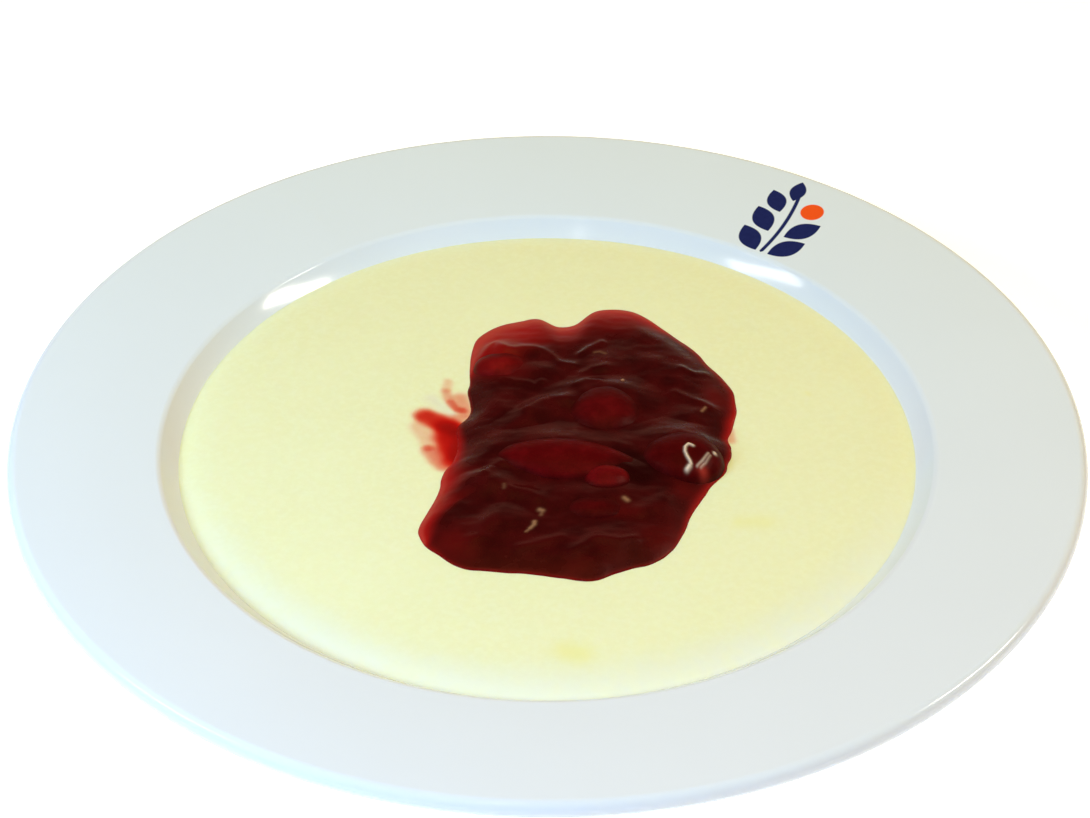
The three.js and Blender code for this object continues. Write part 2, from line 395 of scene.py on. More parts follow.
# %% [markdown]
# ## Glaze
# Porcelain is white clay under a thin hard glass. The glaze pools very slightly, so its surface is not a
# perfect mirror, and it lies a little hollow on the well's wall, which makes the highlights there slim. The
# foot ring is wiped bare before firing. A small navy sprig with one orange berry is printed on the rim under
# the glaze, so it shines as the rest does.

# %% Glaze: sprig on the rim, in millimetres along its stem and aside from it
SPRIG_X = 59.6
SPRIG_Y = 80.3
SPRIG_TURN = math.radians(60)
SPRIG_SOFT = 0.15
STEM_BEND = 120.0
STEM_REACH = 11
STEM_HALF_WIDTH = 0.5
LEAVES = [  # along, aside, half length, half width, turn
    (-7.5, 5.4, 5.0, 2.8, 42),
    (-8.0, -5.0, 5.0, 2.8, -46),
    (0.2, 5.9, 5.0, 2.8, 40),
    (-0.6, -5.4, 5.0, 2.8, -44),
    (7.6, 5.2, 4.4, 2.5, 36),
    (12.9, 0.8, 3.8, 2.1, 6),
]
BERRY = (7.0, -5.6, 3.0)  # along, aside, radius
RIM_CLIMB = (RIM_HEIGHT - SHOULDER_HEIGHT) / (PLATE_RADIUS - SHOULDER_RADIUS)
PRINT_SOFT = 0.5


def stem_aside(reach):
    """How far the bent stem lies aside at a reach along it."""
    return reach * reach / STEM_BEND - 1


glaze, place = new_finish("porcelain_glaze")
x, y, z = place.axes()
along = (x - SPRIG_X) * math.cos(SPRIG_TURN) + (y - SPRIG_Y) * math.sin(SPRIG_TURN)
aside = (y - SPRIG_Y) * math.cos(SPRIG_TURN) - (x - SPRIG_X) * math.sin(SPRIG_TURN)
navy_ink = STEM_HALF_WIDTH - abs(aside - stem_aside(along)) - (abs(along) - STEM_REACH).larger(0)
for leaf_along, leaf_aside, half_length, half_width, turn in LEAVES:
    lean = math.radians(turn)
    from_along, from_aside = along - leaf_along, aside - (leaf_aside + stem_aside(leaf_along))
    reach = from_along * math.cos(lean) + from_aside * math.sin(lean)
    across = from_aside * math.cos(lean) - from_along * math.sin(lean)
    navy_ink = navy_ink.larger(half_width * (1 - reach * reach / half_length**2) - abs(across))
berry_along, berry_aside = along - BERRY[0], aside - BERRY[1]
berry = BERRY[2] - (berry_along * berry_along + berry_aside * berry_aside).root()
above_rim = z - SHOULDER_HEIGHT - ((x * x + y * y).root() - SHOULDER_RADIUS) * RIM_CLIMB
top_side = above_rim.between(-RIM_THICKNESS / 2 - PRINT_SOFT, -RIM_THICKNESS / 2 + PRINT_SOFT)
navy_mask = navy_ink.between(-SPRIG_SOFT, SPRIG_SOFT) * top_side
berry_mask = berry.between(-SPRIG_SOFT, SPRIG_SOFT) * top_side
print("sprig:", len(LEAVES), "leaves")

# %% Glaze: white body, wiped foot and the shader
BARE_FOOT = 0.5
FOOT_SOFT = 0.2
POOLING = 0.05
HOLLOW_MIDDLE = 27.2
HOLLOW_HALF = 2.3
HOLLOW_RADIUS = 40

cloud = place.grain(45)
body_white = cloud.mix(colour(0.80, 0.815, 0.80), colour(0.83, 0.845, 0.83))
foot = z.between(BARE_FOOT + FOOT_SOFT, BARE_FOOT)
clay = place.grain(0.6).mix(colour(0.62, 0.58, 0.52), colour(0.72, 0.69, 0.63))
body = foot.mix(body_white, clay)
ink = place.grain(1.2).mix(colour(0.012, 0.016, 0.085), colour(0.018, 0.024, 0.11))
inked = berry_mask.mix(navy_mask.mix(body, ink), colour(1.0, 0.10, 0.012))
shine = 0.09 + place.grain(20) * 0.05 + foot * 0.55
on_wall = (z - HOLLOW_MIDDLE).smaller(HOLLOW_HALF).larger(-HOLLOW_HALF)
hollow = on_wall * on_wall / (2 * HOLLOW_RADIUS * math.cos(WALL_LEAN) ** 2)
glaze_level = place.grain(9) * POOLING + hollow
set_shader(glaze, {
    "Base Color": inked, "Roughness": shine, "Normal": glaze_level.bump(1.0, 1.0), "IOR": 1.52,
})
plate.data.materials.append(glaze)
print("glaze:", len(glaze.node_tree.nodes), "nodes")

# %% [markdown]
# ## Pudding
# Hot semolina is poured into the plate and sets with a nearly level skin. It clings to the wall a little
# lower than its middle, so the edge rolls down, and the sauce presses a shallow sag into it. A disc of
# many rings is drawn in from the edge, and its vertices are then moved by a function, as a sculptor would
# press the skin: operators alone can't give the slight unevenness.

# %% Pudding: its surface
PUDDING_EDGE = 25.9
PUDDING_RISE = 1.3
PUDDING_TOP = PUDDING_EDGE + PUDDING_RISE
PUDDING_ROLL = 10
ROLL_SHAPE = 0.8
GAP = 0.3
SAUCE_X = 6.8
SAUCE_Y = -4.5
SAG_DEPTH = 2
SAG_HALF_WIDTH = 30
SAG_HALF_LENGTH = 40


def pudding_surface(x, y):
    """Height of the set pudding: level, rolling down at the wall and sagging under the sauce."""
    from_wall = wall_radius(PUDDING_EDGE, -GAP) - np.hypot(x, y)
    roll = np.clip(1 - from_wall / PUDDING_ROLL, 0, 1)
    across = (x - SAUCE_X) / SAG_HALF_WIDTH
    lengthways = (y - SAUCE_Y) / SAG_HALF_LENGTH
    sag = SAG_DEPTH * np.exp(-across * across - lengthways * lengthways)
    return PUDDING_EDGE + PUDDING_RISE * (1 - roll * roll) ** ROLL_SHAPE - sag


def read_places(piece):
    """Where a piece's vertices lie, in millimetres: a row of all x, one of y and one of z."""
    places = np.empty(len(piece.data.vertices) * 3)
    piece.data.vertices.foreach_get("co", places)
    return places.reshape(-1, 3).T / MM


def write_places(piece, x, y, z):
    """Move a piece's vertices to these places, in millimetres."""
    piece.data.vertices.foreach_set("co", (np.column_stack((x, y, z)) * MM).ravel())
    piece.data.update()


def remember(piece, name, values):
    """Store a number on each vertex of a piece."""
    numbers = piece.data.attributes.new(name, "FLOAT", "POINT")
    numbers.data.foreach_set("value", values.astype(np.float32))


def waves(x, y, size, seed):
    """Smooth noise between about -1 and 1, with features of one size in millimetres."""
    return np.array([noise.noise(Vector((a / size, b / size, seed))) for a, b in zip(x, y)])


SKIN_WAVES = [(26, 0.10, 3.0), (7, 0.05, 11.0), (2.2, 0.02, 17.0)]  # size, depth, seed


def pudding_skin(x, y):
    """Height of the pudding with its slight unevenness."""
    return pudding_surface(x, y) + sum(depth * waves(x, y, size, seed) for size, depth, seed in SKIN_WAVES)


sag_bottom = float(pudding_surface(SAUCE_X, SAUCE_Y))
print("pudding: top", PUDDING_TOP, "mm, bottom of the sag", round(sag_bottom, 2), "mm")

# %% Pudding: draw in the skin, close it below and press it
PUDDING_AROUND = 420
SKIN_RINGS = 120
RING_CROWDING = 1.1
CLING = 0.2
UNDERSIDE = [(wall_radius(16, -GAP), 16), (62, 9), (56, FLOOR_HEIGHT + GAP)]  # radius, height

edge_radius = wall_radius(PUDDING_EDGE) + CLING
pudding = begin(
    "set_pudding", bpy.ops.mesh.primitive_circle_add, vertices=PUDDING_AROUND,
    radius=edge_radius * MM, fill_type="NOTHING",
)
bpy.ops.transform.translate(value=(0, 0, PUDDING_EDGE * MM))
radius = edge_radius
for k in range(1, SKIN_RINGS):
    next_radius = edge_radius * (1 - (k / SKIN_RINGS) ** RING_CROWDING)
    pull_ring(next_radius / radius, 0)
    radius = next_radius
bpy.ops.mesh.merge(type="CENTER")
select_ring(pudding, edge_radius, PUDDING_EDGE)
bpy.ops.mesh.mark_sharp()
radius, height = edge_radius, PUDDING_EDGE
for next_radius, next_height in UNDERSIDE:
    pull_ring(next_radius / radius, next_height - height)
    radius, height = next_radius, next_height
pull_ring(TINY, 0)
bpy.ops.mesh.merge(type="CENTER")
finish_turning(pudding)
x, y, z = read_places(pudding)
on_skin = z > PUDDING_EDGE - NEAR
at_edge = np.hypot(x, y) > edge_radius - NEAR
level = np.where(at_edge, PUDDING_EDGE, pudding_skin(x, y))
write_places(pudding, x, y, np.where(on_skin, level, z))
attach(pudding, "root")
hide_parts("pudding")

# %% [markdown]
# ## Juice in the cream
# Where the sauce slid to its place it left a smear of clear juice at its left, soaked into the skin. It has
# no thickness to speak of, so it is a stain and not a piece: every vertex of the pudding remembers how much
# juice it took up. Juice swallows green and blue far faster than red, so a little looks peach, more looks
# salmon, and the most a full red. A few yellow flecks of butter are remembered too, and so is a whitish
# streak of painted sheen, where a wet shine lies on the cream.

# %% Juice: strokes of the smear, in millimetres
SMEAR = [  # depth of juice, half width, points along the stroke
    (3.9, 2.4, ((-28.0, 7.2), (-26.1, 5.9), (-24.0, 4.2), (-21.9, 2.9))),
    (6.2, 3.1, ((-22.6, 3.0), (-22.3, -0.4), (-21.3, -4.0), (-20.2, -7.5))),
    (4.0, 1.4, ((-20.5, 1.6), (-20.5, -2.7), (-21.0, -7.5))),
    (1.2, 1.9, ((-26.3, -5.4), (-24.7, -8.8), (-23.1, -10.7))),
    (1.0, 1.0, ((-27.1, -4.2), (-26.9, -4.6))),
    (0.45, 1.9, ((-29.8, 3.5), (-28.4, 0.6), (-27.4, -1.7))),
    (0.4, 1.2, ((-23.3, 20.6), (-23.7, 17.4))),
    (0.7, 1.2, ((-23.7, 16.6), (-23.0, 14.0))),
    (1.5, 1.0, ((-22.5, 12.6), (-21.1, 10.2), (-19.5, 9.9))),
    (0.9, 2.1, ((-20.2, 14.3), (-19.0, 9.2))),
    (0.6, 1.1, ((-21.3, 7.2), (-18.8, 7.0))),
    (0.7, 1.3, ((41.4, 2.0), (41.8, -1.4))),
]
PAINTED_SHEEN = [(0.55, 1.6, ((-27.1, 14.0), (-24.5, 10.9), (-22.3, 8.4)))]  # where a wet sheen on the cream is painted as a whitish streak
BUTTER = [  # strength, half width and ends of yellow flecks of butter in the cream
    (0.5, 2.0, ((42.0, -30.2), (47.5, -30.4))),
    (0.7, 2.8, ((3.9, -70.4), (6.4, -71.4))),
    (0.7, 0.6, ((60.9, 15.4), (61.1, 15.3))),
]
SMEAR_FALL = 3
RAGGED = 0.35
RAGGED_SIZE = 3.0
RAGGED_SEED = 21.0
SWALLOWED = (0.1, 1.0, 1.1)  # of red, green and blue, for each depth of juice


def line_distance(x, y, points):
    """How far points lie from a line of straight stretches."""
    nearest = np.full_like(x, np.inf)
    for (x0, y0), (x1, y1) in zip(points, points[1:]):
        dx, dy = x1 - x0, y1 - y0
        t = np.clip(((x - x0) * dx + (y - y0) * dy) / (dx * dx + dy * dy), 0, 1)
        nearest = np.minimum(nearest, np.hypot(x - x0 - t * dx, y - y0 - t * dy))
    return nearest


def soft_strokes(x, y, strokes, fall=2):
    """Soft strokes at a place, each a strength, a half width and its points: one row for each."""
    return np.array([
        strength * np.exp(-((line_distance(x, y, line) / half) ** fall)) for strength, half, line in strokes
    ])


x, y, z = read_places(pudding)
shift = RAGGED * waves(x, y, RAGGED_SIZE, RAGGED_SEED)
soaked = soft_strokes(x + shift, y + shift, SMEAR, SMEAR_FALL).sum(axis=0)
remember(pudding, "juice", soaked * (z > PUDDING_EDGE))
remember(pudding, "painted_sheen", soft_strokes(x, y, PAINTED_SHEEN).sum(axis=0))
remember(pudding, "butter", soft_strokes(x, y, BUTTER).sum(axis=0))
print("juice:", len(SMEAR), "strokes")

# %% Pudding: milky, faintly grainy finish
LIT_FRONT_FROM = 70
LIT_FRONT_TO = 83
LIT_FRONT_SIDE = 0
LIT_FRONT_EVEN = 0.7

milky, place = new_finish("semolina_milk")
cream = place.grain(30, 3.0).mix(colour(0.875, 0.83, 0.445), colour(0.91, 0.875, 0.51))
speckled = place.grain(1.4, 3.0).between(0.3, 0.8).mix(cream, colour(0.915, 0.885, 0.53))
x, y, _ = place.axes()
# Painted light: the front part of the edge roll is painted lighter and whiter, where the light from the
# front falls on it and shines off it.
lit_front_mask = (x * x + y * y).root().between(LIT_FRONT_FROM, LIT_FRONT_TO) * y.between(LIT_FRONT_SIDE, -LIT_FRONT_FROM)
uneven = lit_front_mask * (LIT_FRONT_EVEN + place.grain(6).between(0.3, 0.6) * (1 - LIT_FRONT_EVEN))
painted_front_light = uneven.mix(speckled, colour(0.84, 0.83, 0.63))
buttery = place.stored("butter").mix(painted_front_light, colour(0.88, 0.81, 0.29))
# Painted highlight: the whitish streak stands in for the wet sheen on the cream.
with_painted_sheen = place.stored("painted_sheen").mix(buttery, colour(0.83, 0.74, 0.55))
juice = place.stored("juice")
left_over = {part: (juice * -share).exp() for part, share in enumerate(SWALLOWED)}
stained = with_painted_sheen.tinted(place.node("CombineColor", None, left_over))
grit = place.grain(0.7, 3.0)
lumps = place.grain(3.0)
set_shader(milky, {
    "Base Color": stained, "Roughness": 0.3 + lumps * 0.12, "Normal": (grit * 0.4 + lumps).bump(0.12, 0.3),
    "Subsurface Weight": 0.25, "Subsurface Radius": (1.0, 0.8, 0.4), "Subsurface Scale": 2 * MM,
    "Specular IOR Level": 0.45,
})
pudding.data.materials.append(milky)
print("pudding finish:", len(milky.node_tree.nodes), "nodes")

# %% [markdown]
# ## Sauce
# The sauce is thickened fruit juice: a pool that rises gently from its edge, wrinkled where it slid off the
# spoon and humped over the fruit inside it. Near its edge it is thin and the cream shines through bright
# red; where it is deep it looks nearly black. A disc of rings is drawn out to the measured outline, its
# height comes from a function, and each vertex remembers how thin the sauce is there, for the colour.
# Below 0 the same number paints shade into the hollows beside the fruit.

# %% Sauce: outline and folds, in millimetres
SAUCE_HEIGHT = 1.6
SAUCE_REACH = np.array([  # from the sauce's middle, every 5 degrees anticlockwise from +X
    34.9, 34.5, 35.9, 37.7, 39.6, 40.9, 42.3, 43.0, 43.8, 44.4, 46.1, 47.4,
    48.8, 50.7, 53.1, 55.0, 55.2, 53.5, 48.1, 47.3, 51.2, 51.2, 50.8, 49.9,
    47.7, 43.7, 39.2, 35.4, 33.2, 30.4, 28.2, 27.8, 28.2, 28.4, 27.9, 27.2,
    27.2, 27.6, 28.6, 30.6, 32.4, 33.8, 36.2, 40.4, 45.3, 47.2, 47.5, 47.9,
    47.6, 46.0, 44.8, 43.9, 43.6, 44.0, 44.6, 44.6, 43.2, 42.4, 42.5, 41.8,
    40.2, 38.3, 36.2, 34.2, 33.3, 32.8, 32.5, 32.5, 33.2, 34.1, 34.3, 34.9,
])
RED_RIMS = [  # angle in degrees, how far the bright red runs in from the edge
    (0, 0.7), (14, 1.5), (30, 0.8), (62, 0.9), (70, 3.0), (78, 5.5), (88, 5.2), (93, 5.2), (97, 5.6),
    (101, 7.5), (108, 8.5), (118, 7.5), (125, 4.0), (130, 1.6), (134, 0.3), (160, 0.2), (166, 0.9),
    (182, 1.2), (190, 1.6), (198, 3.0), (206, 4.2), (213, 4.0), (218, 7.0), (222, 3.0), (227, 0.5),
    (233, 0.2), (300, 0.2), (312, 0.7), (342, 0.9), (352, 0.7),
]
RED_AND_SHADE_PATCHES = [  # x, y, length, width, turn, how much redder the sauce is; below 0, how much shade is painted into a hollow beside the fruit
    (-11.5, 26, 17, 13, 6, 0.28), (15, 42, 22, 13, -10, 0.12), (-4, 36, 22, 8, 5, 0.17),
    (26, -38, 16, 12, 35, 0.14), (-20, -39, 14, 12, 0, 0.15), (20.8, -16.5, 9, 10, 0, -0.35),
    (18, -11, 8, 6, 0, -0.3), (-3, 26.5, 10, 7, 0, -0.14), (30.6, -21.4, 12, 8, 0, 0.12),
    (15.8, -29.2, 12, 6, 0, 0.12), (0, -47, 50, 8, 0, 0.1), (39, 13, 8, 12, 0, 0.15),
]
SWELLS = [  # x, y, length, width, rise, turn
    (-15.5, 7.5, 12, 8, 1.0, 10), (-2, 22, 12, 8, 0.8, -15), (13, 24, 14, 10, 1.0, 25),
    (27, 22, 16, 10, 0.8, -45), (34, 4, 10, 8, 0.8, -5), (-4, 4, 16, 7, 1.2, 35),
    (-12.2, -19.2, 10, 8, 1.6, -10), (-9.2, -32.6, 10, 8, 1.1, 25), (14, -38, 16, 8, 0.6, 10),
    (-14, -36, 12, 8, 0.4, 10),
]
FOLDS = [  # height, half width, points along the crest
    (0.5, 1.3, (
        (-16.1, 27.7), (-13.9, 31.3), (-12.4, 32.6), (-11.1, 30.9), (-9.6, 29.1), (-7.6, 29.0),
        (-5.7, 30.0), (-3.0, 30.6), (-0.9, 29.5), (1.7, 26.6), (3.4, 24.8), (5.9, 23.6),
    )),
    (0.6, 1.2, ((8.1, 28.4), (10.2, 30.9), (13.0, 33.1))),
    (0.4, 2.6, ((23.9, 37.0), (27.5, 34.5), (29.8, 31.0), (32.0, 28.0), (34.3, 25.6))),
    (0.4, 1.2, ((32.0, 22.8), (34.8, 21.1), (37.3, 22.0))),
    (0.5, 1.4, ((29.7, 13.2), (32.4, 11.3), (34.7, 10.1), (37.9, 8.1))),
    (0.5, 1.5, ((8.4, 19.9), (10.9, 21.7), (13.4, 22.4))),
    (0.4, 1.2, ((6.4, 15.7), (9.0, 17.1), (12.1, 16.4))),
    (0.8, 2.0, ((-4.5, 6.5), (-1.4, 9.6), (1.6, 10.2), (4.7, 9.6))),
    (0.5, 1.2, ((-10.0, 18.9), (-7.5, 17.6), (-4.6, 17.1), (-2.9, 16.1), (-1.3, 17.5))),
    (0.6, 1.5, ((-13.7, -16.4), (-11.7, -14.3), (-10.1, -13.2))),
    (0.4, 2.0, ((-13.5, -33.4), (-11.8, -31.0), (-9.4, -28.0), (-8.8, -25.9))),
    (0.8, 2.0, ((-7.5, -22.8), (-4.8, -23.1), (-2.1, -24.9))),
    (0.4, 1.4, ((-5.8, -40.9), (-2.4, -39.7), (0.6, -38.3), (2.9, -37.7))),
    (0.5, 1.5, ((5.5, -42.3), (8.0, -40.0), (10.5, -38.2))),
    (0.4, 1.2, ((12.2, -38.3), (15.6, -39.2), (19.1, -38.3))),
    (0.4, 1.6, ((-16.0, -38.4), (-14.1, -37.1))),
    (0.5, 2.2, ((20.5, -29.4), (26.0, -25.6))),
]


def sauce_reach(angle):
    """A smooth closed curve through the listed reaches."""
    turn = np.mod(angle / (2 * np.pi), 1) * len(SAUCE_REACH)
    start = np.floor(turn).astype(int)
    t = turn - start
    before, here, then, after = (SAUCE_REACH[(start + k) % len(SAUCE_REACH)] for k in (-1, 0, 1, 2))
    slope_in, slope_out, rise = (then - before) / 2, (after - here) / 2, then - here
    bend, twist = 3 * rise - 2 * slope_in - slope_out, slope_in + slope_out - 2 * rise
    return here + t * (slope_in + t * (bend + t * twist))


def oval_share(x, y, lump_x, lump_y, length, width, turn):
    """How far points lie from an oval's middle, as a share of its outline."""
    lean = math.radians(turn)
    reach = (x - lump_x) * math.cos(lean) + (y - lump_y) * math.sin(lean)
    aside = (y - lump_y) * math.cos(lean) - (x - lump_x) * math.sin(lean)
    return np.hypot(2 * reach / length, 2 * aside / width)


print("sauce:", len(SWELLS), "swells,", len(FOLDS), "folds")

# %% Sauce: fruit that stands in it
CLIMB_SHARE = 0.42
CLIMB_WIDTH = 5.5
CLIMB_START = 0.65
BEHIND_POWER = 1.5
FRUITS = {  # x, y, length, width, rise, turn, taper
    "fruit_middle": (4.3, -11.4, 36.3, 15.5, 5.0, -7, 0.2),
    "fruit_middle_tip": (13.2, -18.0, 12.5, 10.0, 4.3, 9, 0.1),
    "fruit_right": (30.4, -10.1, 19.2, 17.2, 5.4, -8, 0.1),
    "fruit_back": (13.3, 7.6, 21.5, 19.5, 4.3, -2, 0.4),
    "fruit_back_left": (-10.8, 24.6, 13.6, 11, 3.4, 6, 0),
    "fruit_front": (10.5, -27.5, 17, 9.5, 3.1, 0, 0.2),
}
GLINT_BEADS = [  # strength, half width, ends of small beads in the sauce, painted pale where their wet glints show
    (0.4, 0.5, ((-1.6, -28.7), (-1.0, -29.0))),
    (0.2, 0.4, ((-1.1, -29.4), (-1.3, -30.3))),
    (0.5, 0.42, ((-2.7, -32.6), (-2.8, -33.6))),
    (0.42, 0.36, ((-2.9, -33.8), (-3.7, -34.9))),
    (0.3, 0.26, ((-3.8, -35.0), (-4.5, -35.9))),
    (0.4, 0.55, ((16.9, -25.2), (17.5, -25.8))),
    (0.12, 0.4, ((-9.4, -21.2), (-9.4, -22.2))),
    (0.8, 0.28, ((17.6, 17.4), (17.6, 16.9))),
    (0.35, 0.32, ((36.4, 7.4), (35.5, 5.8))),
    (0.14, 0.4, ((11.3, 28.9), (12.5, 29.2), (13.8, 28.3))),
]
GLINT_BEAD_HEIGHT = 0.3
RIPPLES = [(0.22, 2.0, 4.0, 5.0), (0.08, 1.5, 1.8, 8.0)]  # height, stretch along x, size, seed


def sauce_relief(x, y):
    """Extra height of the sauce: swells, folds, ripples, beads, and its climb up a fruit's far side."""
    swells = [rise * np.exp(-oval_share(x, y, *oval, turn) ** 2) for *oval, rise, turn in SWELLS]
    climbs = []
    for fruit_x, fruit_y, length, width, rise, turn, _ in FRUITS.values():
        share = oval_share(x, y, fruit_x, fruit_y, length, width, turn)
        away = np.maximum(0, share - CLIMB_START) * width / 2
        behind = 0.5 + 0.5 * (y - fruit_y) / np.maximum(np.hypot(x - fruit_x, y - fruit_y), NEAR)
        climbs.append(CLIMB_SHARE * rise * behind**BEHIND_POWER * np.exp(-((away / CLIMB_WIDTH) ** 2)))
    folds = soft_strokes(x, y, FOLDS).sum(axis=0)
    ripples = sum(high * waves(x / stretch, y, size, seed) for high, stretch, size, seed in RIPPLES)
    glint_beads = GLINT_BEAD_HEIGHT * soft_strokes(x, y, GLINT_BEADS).max(axis=0)
    return np.maximum.reduce(swells + climbs) + folds + ripples + glint_beads


print("fruit:", ", ".join(FRUITS))

# %% Sauce: how deep it lies at a place
LIP = 11.0
FRONT_LIP = 7.5
EDGE_WAVE = 0.25
EDGE_CIRCLE = 9  # radius of the circle in the noise that is read for the edge
EDGE_SEED = 2.0


def sauce_edge(angle):
    """At an angle: the sauce's reach, how far it takes to rise, and how far the bright red runs in."""
    uneven = waves(np.cos(angle), np.sin(angle), 1 / EDGE_CIRCLE, EDGE_SEED)
    reach = sauce_reach(angle) + EDGE_WAVE * uneven
    lip = LIP + (FRONT_LIP - LIP) * np.maximum(0, -np.sin(angle))
    return reach, lip, np.interp(np.degrees(angle), *zip(*RED_RIMS), period=360)


def sauce_depth(x, y):
    """Depth of the sauce over the pudding: it rises in a dome from its edge to the full level."""
    from_x, from_y = x - SAUCE_X, y - SAUCE_Y
    reach, lip, _ = sauce_edge(np.arctan2(from_y, from_x))
    t = np.clip((reach - np.hypot(from_x, from_y)) / lip, 0, 1)
    full = PUDDING_TOP - pudding_surface(x, y) + SAUCE_HEIGHT + sauce_relief(x, y)
    return full * t * (2 - t)


middle_depth = sauce_depth(np.array([SAUCE_X]), np.array([SAUCE_Y]))[0]
print("sauce:", round(float(middle_depth), 2), "mm deep in its middle")

# %% Sauce: draw the pool
SAUCE_AROUND = 560
SAUCE_RINGS = 150
HAIR = 0.001  # tells the upper side from the underside
UNDER_SHARE = 0.5

sauce = begin(
    "sauce_pool", bpy.ops.mesh.primitive_circle_add, vertices=SAUCE_AROUND, radius=MM, fill_type="NOTHING",
)
share = 1.0
for k in range(1, SAUCE_RINGS):
    next_share = math.cos(k / SAUCE_RINGS * math.pi / 2)
    pull_ring(next_share / share, HAIR if k == 1 else 0)
    share = next_share
bpy.ops.mesh.merge(type="CENTER")
select_ring(sauce, 1, 0)
pull_ring(UNDER_SHARE, -HAIR)
pull_ring(TINY, 0)
bpy.ops.mesh.merge(type="CENTER")
finish_turning(sauce)

# %% Sauce: lay the pool out on the pudding
UNDERLAP = 0.15
THICK_EDGE = 0.3
RED_FULL = 1.6
RED_LEAST = 0.3
RED_FALL = 1.5

x, y, z = read_places(sauce)
inward = np.maximum(0, 1 - np.hypot(x, y))
reach, _, red = sauce_edge(np.arctan2(y, x))
x, y = SAUCE_X + x * reach, SAUCE_Y + y * reach
floor = pudding_surface(x, y)
write_places(sauce, x, y, np.where(z > 0, floor + sauce_depth(x, y), floor - UNDERLAP))
brightest = np.clip(THICK_EDGE + (1 - THICK_EDGE) * red / RED_FULL, 0, 1)
thin = brightest * np.exp(-((inward * reach / (red + RED_LEAST)) ** RED_FALL))
# Patches below 0 paint shade into the hollows beside the fruit.
for *oval, turn, redder_and_painted_shade in RED_AND_SHADE_PATCHES:
    thin += redder_and_painted_shade * np.exp(-oval_share(x, y, *oval, turn) ** 2)
remember(sauce, "thin", thin)
remember(sauce, "pale", soft_strokes(x, y, GLINT_BEADS).max(axis=0))
print("sauce: thin from", round(float(thin.min()), 2), "to", round(float(thin.max()), 2))
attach(sauce, "root")
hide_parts("fruit_sauce")

# %% Sauce: deep red finish
PAINTED_BEAD_GLINT = colour(0.62, 0.31, 0.14)
WARM_SHINE = colour(1.0, 0.6, 0.48)

deep, place = new_finish("deep_red_sauce")
thinness = place.stored("thin")
murk = place.grain(6, 3.0)
dark = murk.between(0.3, 0.7).mix(colour(0.030, 0.0012, 0.0012), colour(0.054, 0.0019, 0.0019))
# Painted shade: below 0 the sauce is painted darker than its own dark red, for the shadow in the hollows
# beside the fruit.
dark_with_painted_shade = thinness.between(0.0, -0.3).mix(dark, colour(0.018, 0.0006, 0.0006))
veiled = thinness.between(0.0, 0.35).mix(dark_with_painted_shade, colour(0.16, 0.0025, 0.0025))
lit = thinness.between(0.25, 0.75).mix(veiled, colour(0.33, 0.003, 0.003))
edge_lit = thinness.between(0.65, 1.0).mix(lit, colour(0.47, 0.030, 0.019))
# Painted highlight: pale marks on the beads stand in for the glints of the lamps on the wet sauce.
glint_beads = place.stored("pale")
set_shader(deep, {
    "Base Color": glint_beads.mix(edge_lit, PAINTED_BEAD_GLINT), "Normal": place.grain(2.2, 3.0).bump(0.2, 0.4),
    "Roughness": 0.2 + murk * 0.12 + thinness.larger(0) * 0.25, "Coat Weight": glint_beads, "Coat Roughness": 0.05,
    "IOR": 1.4, "Specular IOR Level": 0.36, "Specular Tint": WARM_SHINE,
})
sauce.data.materials.append(deep)
print("sauce finish:", len(deep.node_tree.nodes), "nodes")

# %% [markdown]
# ## Fruit
# Six pieces of stewed fruit stand out of the sauce. Cooking has left them soft and slightly wrinkled, and
# the sauce coats them thinly. Each starts as a ball, is drawn to its length, width and rise, narrowed to
# its ends, turned, sunk to the pudding and wrinkled. Each vertex remembers its colour: the flesh where it
# stands clear, and the sauce's dark red where it dips under. Fine creases on the right-hand one are raised,
# and the glints that they catch are painted pale into its colour.

# %% Fruit: finish
PAINTED_CREASE_GLINT = colour(0.80, 0.60, 0.42)

stewed, place = new_finish("stewed_fruit")
flesh = place.stored("flesh", "Color")
tone = place.grain(3, 4.0)
mottled = tone.between(0.35, 0.75).mix(flesh, flesh.tinted(colour(1.4, 1.6, 1.6)))
# Painted highlight: pale colour on the creases stands in for the glints of the lamps on the wet fruit.
glint_creases = place.stored("pale")
set_shader(stewed, {
    "Base Color": glint_creases.mix(mottled, PAINTED_CREASE_GLINT), "Normal": place.grain(2.4, 3.0).bump(0.25, 0.5),
    "Roughness": 0.3 + tone * 0.15, "Coat Weight": glint_creases * 0.5, "Coat Roughness": 0.06,
    "IOR": 1.38, "Specular IOR Level": 0.08, "Specular Tint": WARM_SHINE,
})
print("fruit finish:", len(stewed.node_tree.nodes), "nodes")

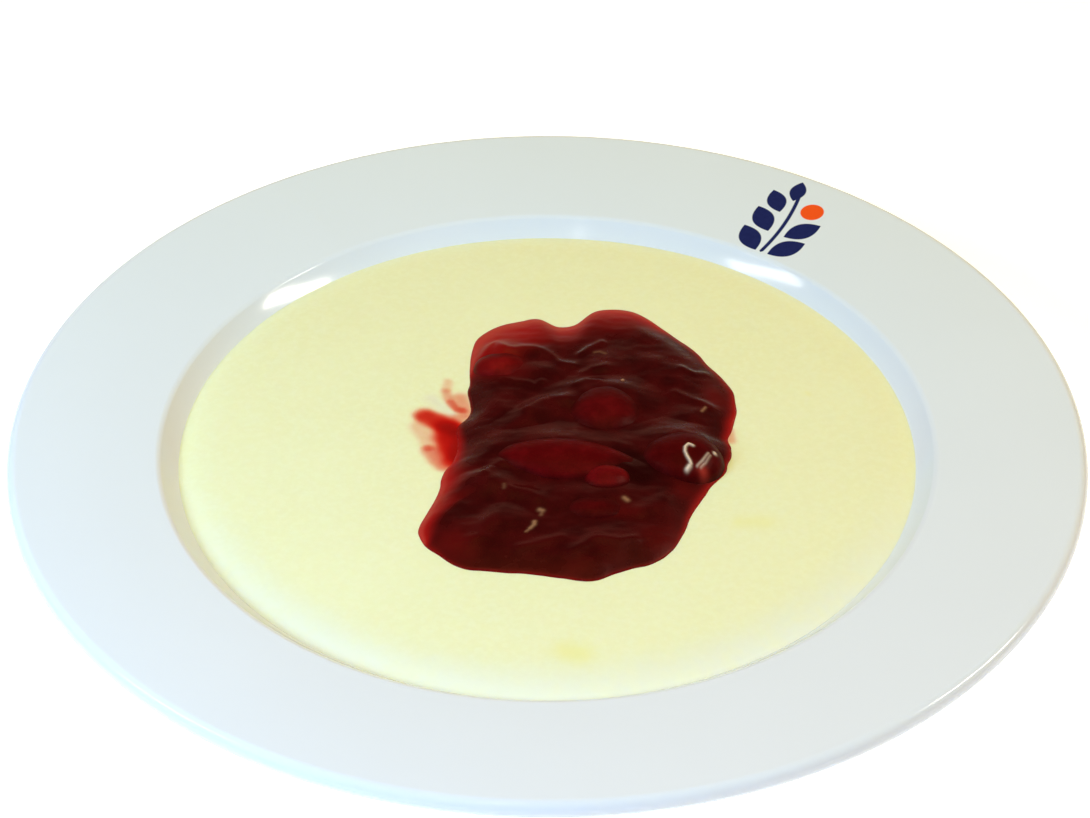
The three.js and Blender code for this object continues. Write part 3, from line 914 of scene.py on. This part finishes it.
# %% Fruit: colours, and creases with painted glints
SAUCE_DARK = (0.041, 0.0014, 0.0014)
FILM_RED = (0.10, 0.0030, 0.0030)
FLESH = {  # colour, height over the sauce that shows it all, colour below that, darkness of its far side
    "fruit_middle": ((0.080, 0.0010, 0.0016), 0.9, SAUCE_DARK, 0),
    "fruit_middle_tip": ((0.105, 0.0018, 0.0024), 0.8, SAUCE_DARK, 0),
    "fruit_right": ((0.056, 0.0010, 0.0012), 1.5, SAUCE_DARK, 0),
    "fruit_back": ((0.080, 0.0016, 0.0020), 1.8, SAUCE_DARK, 0),
    "fruit_back_left": ((0.165, 0.0030, 0.0030), 1.2, FILM_RED, 0.6),
    "fruit_front": ((0.066, 0.0010, 0.0014), 2.0, SAUCE_DARK, 0),
}
GLINT_CREASES = [  # strength, half width, points of raised creases on the right-hand fruit, painted pale where their glints show
    (1.0, 0.31, (
        (32.5, -10.7), (31.5, -10.2), (30.7, -11.3), (30.6, -12.6), (31.0, -13.9), (31.6, -15.0),
        (31.8, -15.7),
    )),
    (1.0, 0.45, ((31.5, -16.1), (30.9, -16.8))),
    (0.45, 0.28, ((35.9, -11.9), (34.4, -14.4), (33.2, -15.9))),
    (0.35, 0.28, ((36.3, -12.3), (35.1, -14.7), (34.0, -16.0))),
    (1.0, 0.42, ((37.4, -11.0), (37.4, -11.2))),
]
RIPE_SPOT = (34.6, -16.5, 1.15)  # x, y, radius
RIPE_COLOUR = np.array((0.26, 0.02, 0.012))


def flesh_colours(name, x, y, clear, far):
    """Colours of a fruit's vertices, from how clear of the sauce they stand and how far back they lie."""
    tint, clear_height, under, shade = (np.array(part) for part in FLESH[name])
    colours = under + (tint - under) * np.clip(clear / clear_height, 0, 1)[:, None]
    colours += (np.array(SAUCE_DARK) - colours) * (shade * far)[:, None]
    ripe = np.exp(-(((x - RIPE_SPOT[0]) ** 2 + (y - RIPE_SPOT[1]) ** 2) / RIPE_SPOT[2] ** 2))
    colours += (RIPE_COLOUR - colours) * ripe[:, None]
    return np.column_stack((colours, np.ones(len(colours))))


print("fruit colours:", len(FLESH), "with", len(GLINT_CREASES), "curls of skin")

# %% Fruit: shape each piece
FRUIT_RINGS = 130
FRUIT_AROUND = 200
FRUIT_SINK = 0.6
FLATNESS = 2.2
WRINKLES = [(1.0, 0.04), (0.35, 0.012)]  # size, depth, as shares of the fruit
WRINKLE_SEED = 4.0
GLINT_CREASE_HEIGHT = 0.35


def draw_fruit(name, fruit_x, fruit_y, length, width, rise, turn, taper):
    """One piece of fruit, from a ball to its place in the sauce."""
    piece = begin(
        name + "_stewed", bpy.ops.mesh.primitive_uv_sphere_add, segments=FRUIT_AROUND,
        ring_count=FRUIT_RINGS, radius=MM,
    )
    bpy.ops.transform.rotate(value=math.radians(90), orient_axis="Y", center_override=(0, 0, 0))
    finish_turning(piece)

    x, y, z = read_places(piece)
    narrowing = 1 - taper * x * x
    wrinkled = x + fruit_x, y + z + fruit_y
    size = 1 + sum(depth * waves(*wrinkled, step, WRINKLE_SEED) for step, depth in WRINKLES)
    z = np.sign(z) * np.abs(z) ** (2 / FLATNESS)
    x, y = x * length / 2 * size, y * width / 2 * narrowing * size
    z = z * (rise + FRUIT_SINK) * narrowing * size
    lean = math.radians(turn)
    x, y = x * math.cos(lean) - y * math.sin(lean), x * math.sin(lean) + y * math.cos(lean)
    x, y, z = fruit_x + x, fruit_y + y, PUDDING_TOP - FRUIT_SINK + z
    floor = pudding_surface(x, y)
    clear = z - floor - sauce_depth(x, y)
    glint_creases = soft_strokes(x, y, GLINT_CREASES).max(axis=0) * (clear > 0)
    write_places(piece, x, y, np.maximum(z, floor) + GLINT_CREASE_HEIGHT * glint_creases)
    remember(piece, "pale", glint_creases)
    far = np.clip(0.5 + (y - fruit_y) / width, 0, 1)
    colours = flesh_colours(name, x, y, clear, far)
    flesh = piece.data.attributes.new("flesh", "FLOAT_COLOR", "POINT")
    flesh.data.foreach_set("color", colours.astype(np.float32).ravel())
    piece.data.materials.append(stewed)
    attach(piece, "root")
    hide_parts(name)


for fruit_name, sizes in FRUITS.items():
    draw_fruit(fruit_name, *sizes)
